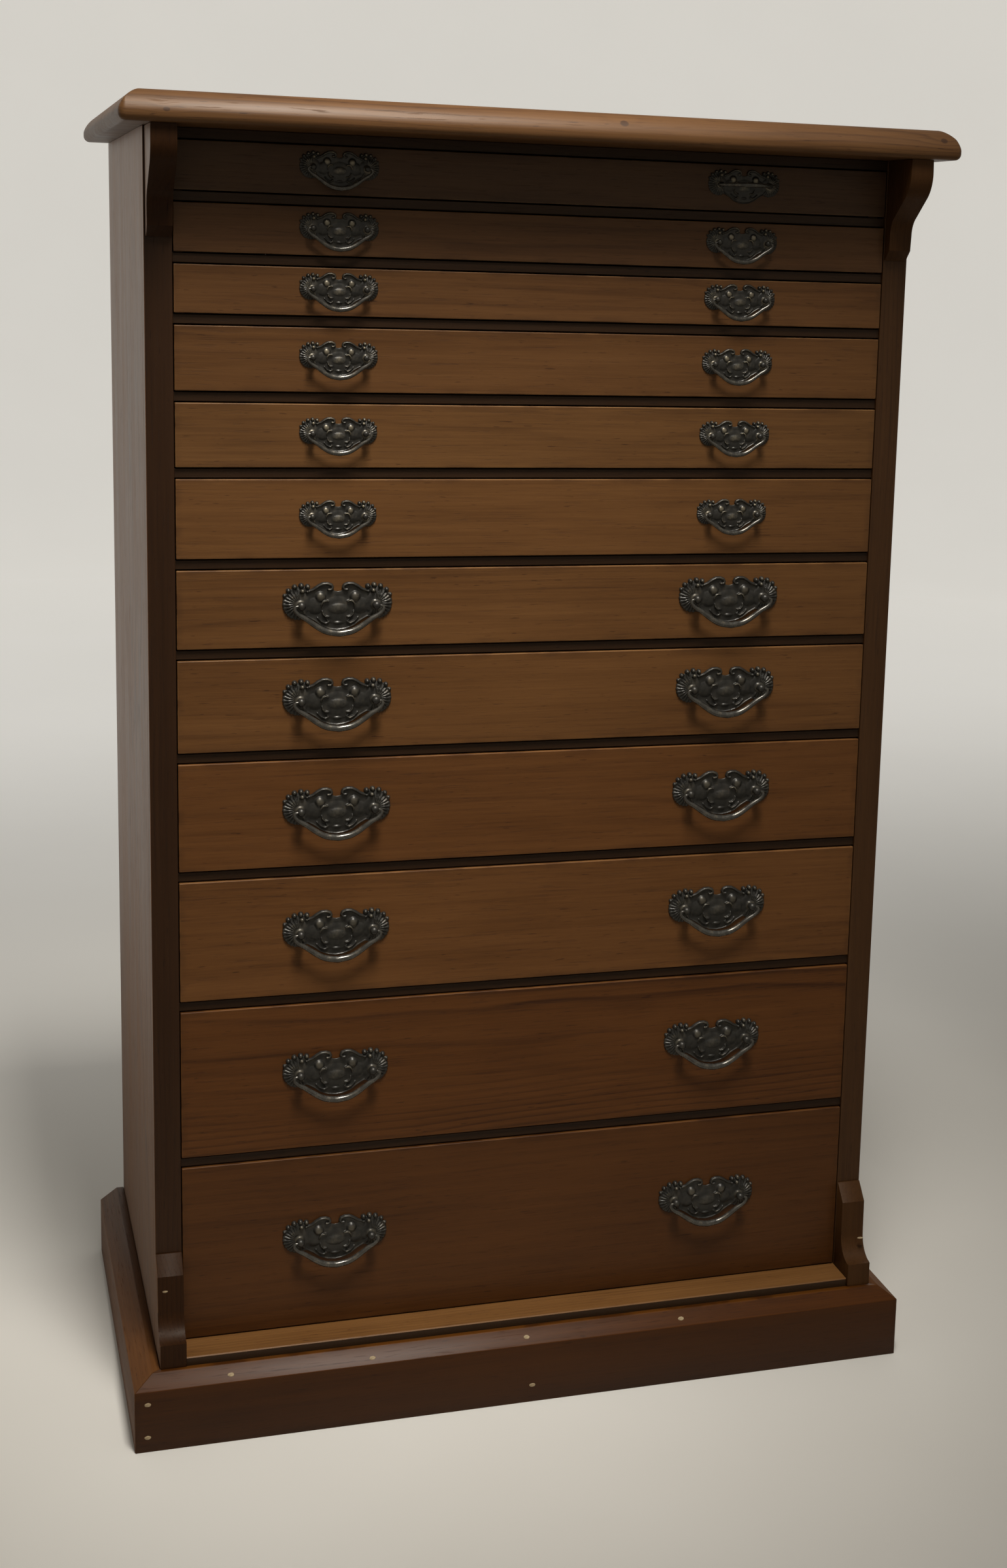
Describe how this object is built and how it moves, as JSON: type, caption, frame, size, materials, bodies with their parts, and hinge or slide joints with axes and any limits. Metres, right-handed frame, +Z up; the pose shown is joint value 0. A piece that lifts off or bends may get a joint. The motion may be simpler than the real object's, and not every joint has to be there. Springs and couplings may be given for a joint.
{
  "type": "flat file cabinet",
  "caption": "Tall pine cabinet with a column of shallow to deep drawers, cast drop handles, moulded top and plinth.",
  "frame": {"origin": "on the floor, under the centre of the bounding box", "axes": "+Z up, -Y out of the drawer fronts, +X to the right seen from the front"},
  "size_m": [0.852, 0.497, 1.366],
  "materials": {
    "top_pine": "waxed and polished",
    "case_pine": "waxed",
    "frame_pine": "waxed, darkened by age",
    "drawer_pine": "waxed",
    "tray_pine": "bare",
    "bronze": "dark patina, worn bright on the high spots"
  },
  "bodies": {
    "cabinet": {"top_board": "top_pine", "left_side": "case_pine", "right_side": "case_pine", "back_panel": "case_pine", "face_frame": "frame_pine", "base_board": "case_pine", "front_sill": "frame_pine", "plinth": "frame_pine", "corbel_left": "frame_pine", "corbel_right": "frame_pine", "foot_bracket_left": "frame_pine", "foot_bracket_right": "frame_pine"},
    "drawer_01": {"drawer_front_01": "drawer_pine", "drawer_box_01": "tray_pine"},
    "bail_01_left": {"bail_01_left": "bronze"},
    "bail_01_right": {"bail_01_right": "bronze"},
    "drawer_02": {"drawer_front_02": "drawer_pine", "drawer_box_02": "tray_pine"},
    "bail_02_left": {"bail_02_left": "bronze"},
    "bail_02_right": {"bail_02_right": "bronze"},
    "drawer_03": {"drawer_front_03": "drawer_pine", "drawer_box_03": "tray_pine"},
    "bail_03_left": {"bail_03_left": "bronze"},
    "bail_03_right": {"bail_03_right": "bronze"},
    "drawer_04": {"drawer_front_04": "drawer_pine", "drawer_box_04": "tray_pine"},
    "bail_04_left": {"bail_04_left": "bronze"},
    "bail_04_right": {"bail_04_right": "bronze"},
    "drawer_05": {"drawer_front_05": "drawer_pine", "drawer_box_05": "tray_pine"},
    "bail_05_left": {"bail_05_left": "bronze"},
    "bail_05_right": {"bail_05_right": "bronze"},
    "drawer_06": {"drawer_front_06": "drawer_pine", "drawer_box_06": "tray_pine"},
    "bail_06_left": {"bail_06_left": "bronze"},
    "bail_06_right": {"bail_06_right": "bronze"},
    "drawer_07": {"drawer_front_07": "drawer_pine", "drawer_box_07": "tray_pine"},
    "bail_07_left": {"bail_07_left": "bronze"},
    "bail_07_right": {"bail_07_right": "bronze"},
    "drawer_08": {"drawer_front_08": "drawer_pine", "drawer_box_08": "tray_pine"},
    "bail_08_left": {"bail_08_left": "bronze"},
    "bail_08_right": {"bail_08_right": "bronze"},
    "drawer_09": {"drawer_front_09": "drawer_pine", "drawer_box_09": "tray_pine"},
    "bail_09_left": {"bail_09_left": "bronze"},
    "bail_09_right": {"bail_09_right": "bronze"},
    "drawer_10": {"drawer_front_10": "drawer_pine", "drawer_box_10": "tray_pine"},
    "bail_10_left": {"bail_10_left": "bronze"},
    "bail_10_right": {"bail_10_right": "bronze"},
    "drawer_11": {"drawer_front_11": "drawer_pine", "drawer_box_11": "tray_pine"},
    "bail_11_left": {"bail_11_left": "bronze"},
    "bail_11_right": {"bail_11_right": "bronze"},
    "drawer_12": {"drawer_front_12": "drawer_pine", "drawer_box_12": "tray_pine"},
    "bail_12_left": {"bail_12_left": "bronze"},
    "bail_12_right": {"bail_12_right": "bronze"}
  },
  "joints": [
    {"name": "drawer_01_slide", "type": "slide", "parent": "cabinet", "child": "drawer_01", "axis": [0, -1, 0], "range_m": [0, 0.32]},
    {"name": "bail_01_left_hinge", "type": "hinge", "parent": "drawer_01", "child": "bail_01_left", "pos_m": [-0.21, -0.1889, 1.30375], "axis": [-1, 0, 0], "range_deg": [-5, 180]},
    {"name": "bail_01_right_hinge", "type": "hinge", "parent": "drawer_01", "child": "bail_01_right", "pos_m": [0.21, -0.1889, 1.30375], "axis": [-1, 0, 0], "range_deg": [-95, 90]},
    {"name": "drawer_02_slide", "type": "slide", "parent": "cabinet", "child": "drawer_02", "axis": [0, -1, 0], "range_m": [0, 0.32]},
    {"name": "bail_02_left_hinge", "type": "hinge", "parent": "drawer_02", "child": "bail_02_left", "pos_m": [-0.21, -0.1889, 1.24545], "axis": [-1, 0, 0], "range_deg": [-5, 180]},
    {"name": "bail_02_right_hinge", "type": "hinge", "parent": "drawer_02", "child": "bail_02_right", "pos_m": [0.21, -0.1889, 1.24545], "axis": [-1, 0, 0], "range_deg": [-5, 180]},
    {"name": "drawer_03_slide", "type": "slide", "parent": "cabinet", "child": "drawer_03", "axis": [0, -1, 0], "range_m": [0, 0.32]},
    {"name": "bail_03_left_hinge", "type": "hinge", "parent": "drawer_03", "child": "bail_03_left", "pos_m": [-0.21, -0.1889, 1.18715], "axis": [-1, 0, 0], "range_deg": [-5, 180]},
    {"name": "bail_03_right_hinge", "type": "hinge", "parent": "drawer_03", "child": "bail_03_right", "pos_m": [0.21, -0.1889, 1.18715], "axis": [-1, 0, 0], "range_deg": [-5, 180]},
    {"name": "drawer_04_slide", "type": "slide", "parent": "cabinet", "child": "drawer_04", "axis": [0, -1, 0], "range_m": [0, 0.32]},
    {"name": "bail_04_left_hinge", "type": "hinge", "parent": "drawer_04", "child": "bail_04_left", "pos_m": [-0.21, -0.1889, 1.1206], "axis": [-1, 0, 0], "range_deg": [-5, 180]},
    {"name": "bail_04_right_hinge", "type": "hinge", "parent": "drawer_04", "child": "bail_04_right", "pos_m": [0.21, -0.1889, 1.1206], "axis": [-1, 0, 0], "range_deg": [-5, 180]},
    {"name": "drawer_05_slide", "type": "slide", "parent": "cabinet", "child": "drawer_05", "axis": [0, -1, 0], "range_m": [0, 0.32]},
    {"name": "bail_05_left_hinge", "type": "hinge", "parent": "drawer_05", "child": "bail_05_left", "pos_m": [-0.21, -0.1889, 1.0458], "axis": [-1, 0, 0], "range_deg": [-5, 180]},
    {"name": "bail_05_right_hinge", "type": "hinge", "parent": "drawer_05", "child": "bail_05_right", "pos_m": [0.21, -0.1889, 1.0458], "axis": [-1, 0, 0], "range_deg": [-5, 180]},
    {"name": "drawer_06_slide", "type": "slide", "parent": "cabinet", "child": "drawer_06", "axis": [0, -1, 0], "range_m": [0, 0.32]},
    {"name": "bail_06_left_hinge", "type": "hinge", "parent": "drawer_06", "child": "bail_06_left", "pos_m": [-0.21, -0.1889, 0.963], "axis": [-1, 0, 0], "range_deg": [-5, 180]},
    {"name": "bail_06_right_hinge", "type": "hinge", "parent": "drawer_06", "child": "bail_06_right", "pos_m": [0.21, -0.1889, 0.963], "axis": [-1, 0, 0], "range_deg": [-5, 180]},
    {"name": "drawer_07_slide", "type": "slide", "parent": "cabinet", "child": "drawer_07", "axis": [0, -1, 0], "range_m": [0, 0.32]},
    {"name": "bail_07_left_hinge", "type": "hinge", "parent": "drawer_07", "child": "bail_07_left", "pos_m": [-0.21, -0.1925, 0.8734], "axis": [-1, 0, 0], "range_deg": [-5, 180]},
    {"name": "bail_07_right_hinge", "type": "hinge", "parent": "drawer_07", "child": "bail_07_right", "pos_m": [0.21, -0.1925, 0.8734], "axis": [-1, 0, 0], "range_deg": [-5, 180]},
    {"name": "drawer_08_slide", "type": "slide", "parent": "cabinet", "child": "drawer_08", "axis": [0, -1, 0], "range_m": [0, 0.32]},
    {"name": "bail_08_left_hinge", "type": "hinge", "parent": "drawer_08", "child": "bail_08_left", "pos_m": [-0.21, -0.1925, 0.7751], "axis": [-1, 0, 0], "range_deg": [-5, 180]},
    {"name": "bail_08_right_hinge", "type": "hinge", "parent": "drawer_08", "child": "bail_08_right", "pos_m": [0.21, -0.1925, 0.7751], "axis": [-1, 0, 0], "range_deg": [-5, 180]},
    {"name": "drawer_09_slide", "type": "slide", "parent": "cabinet", "child": "drawer_09", "axis": [0, -1, 0], "range_m": [0, 0.32]},
    {"name": "bail_09_left_hinge", "type": "hinge", "parent": "drawer_09", "child": "bail_09_left", "pos_m": [-0.21, -0.1925, 0.66055], "axis": [-1, 0, 0], "range_deg": [-5, 180]},
    {"name": "bail_09_right_hinge", "type": "hinge", "parent": "drawer_09", "child": "bail_09_right", "pos_m": [0.21, -0.1925, 0.66055], "axis": [-1, 0, 0], "range_deg": [-5, 180]},
    {"name": "drawer_10_slide", "type": "slide", "parent": "cabinet", "child": "drawer_10", "axis": [0, -1, 0], "range_m": [0, 0.32]},
    {"name": "bail_10_left_hinge", "type": "hinge", "parent": "drawer_10", "child": "bail_10_left", "pos_m": [-0.21, -0.1925, 0.53], "axis": [-1, 0, 0], "range_deg": [-5, 180]},
    {"name": "bail_10_right_hinge", "type": "hinge", "parent": "drawer_10", "child": "bail_10_right", "pos_m": [0.21, -0.1925, 0.53], "axis": [-1, 0, 0], "range_deg": [-5, 180]},
    {"name": "drawer_11_slide", "type": "slide", "parent": "cabinet", "child": "drawer_11", "axis": [0, -1, 0], "range_m": [0, 0.32]},
    {"name": "bail_11_left_hinge", "type": "hinge", "parent": "drawer_11", "child": "bail_11_left", "pos_m": [-0.21, -0.1925, 0.3762], "axis": [-1, 0, 0], "range_deg": [-5, 180]},
    {"name": "bail_11_right_hinge", "type": "hinge", "parent": "drawer_11", "child": "bail_11_right", "pos_m": [0.21, -0.1925, 0.3762], "axis": [-1, 0, 0], "range_deg": [-5, 180]},
    {"name": "drawer_12_slide", "type": "slide", "parent": "cabinet", "child": "drawer_12", "axis": [0, -1, 0], "range_m": [0, 0.32]},
    {"name": "bail_12_left_hinge", "type": "hinge", "parent": "drawer_12", "child": "bail_12_left", "pos_m": [-0.21, -0.1925, 0.19015], "axis": [-1, 0, 0], "range_deg": [-5, 180]},
    {"name": "bail_12_right_hinge", "type": "hinge", "parent": "drawer_12", "child": "bail_12_right", "pos_m": [0.21, -0.1925, 0.19015], "axis": [-1, 0, 0], "range_deg": [-5, 180]}
  ]
}
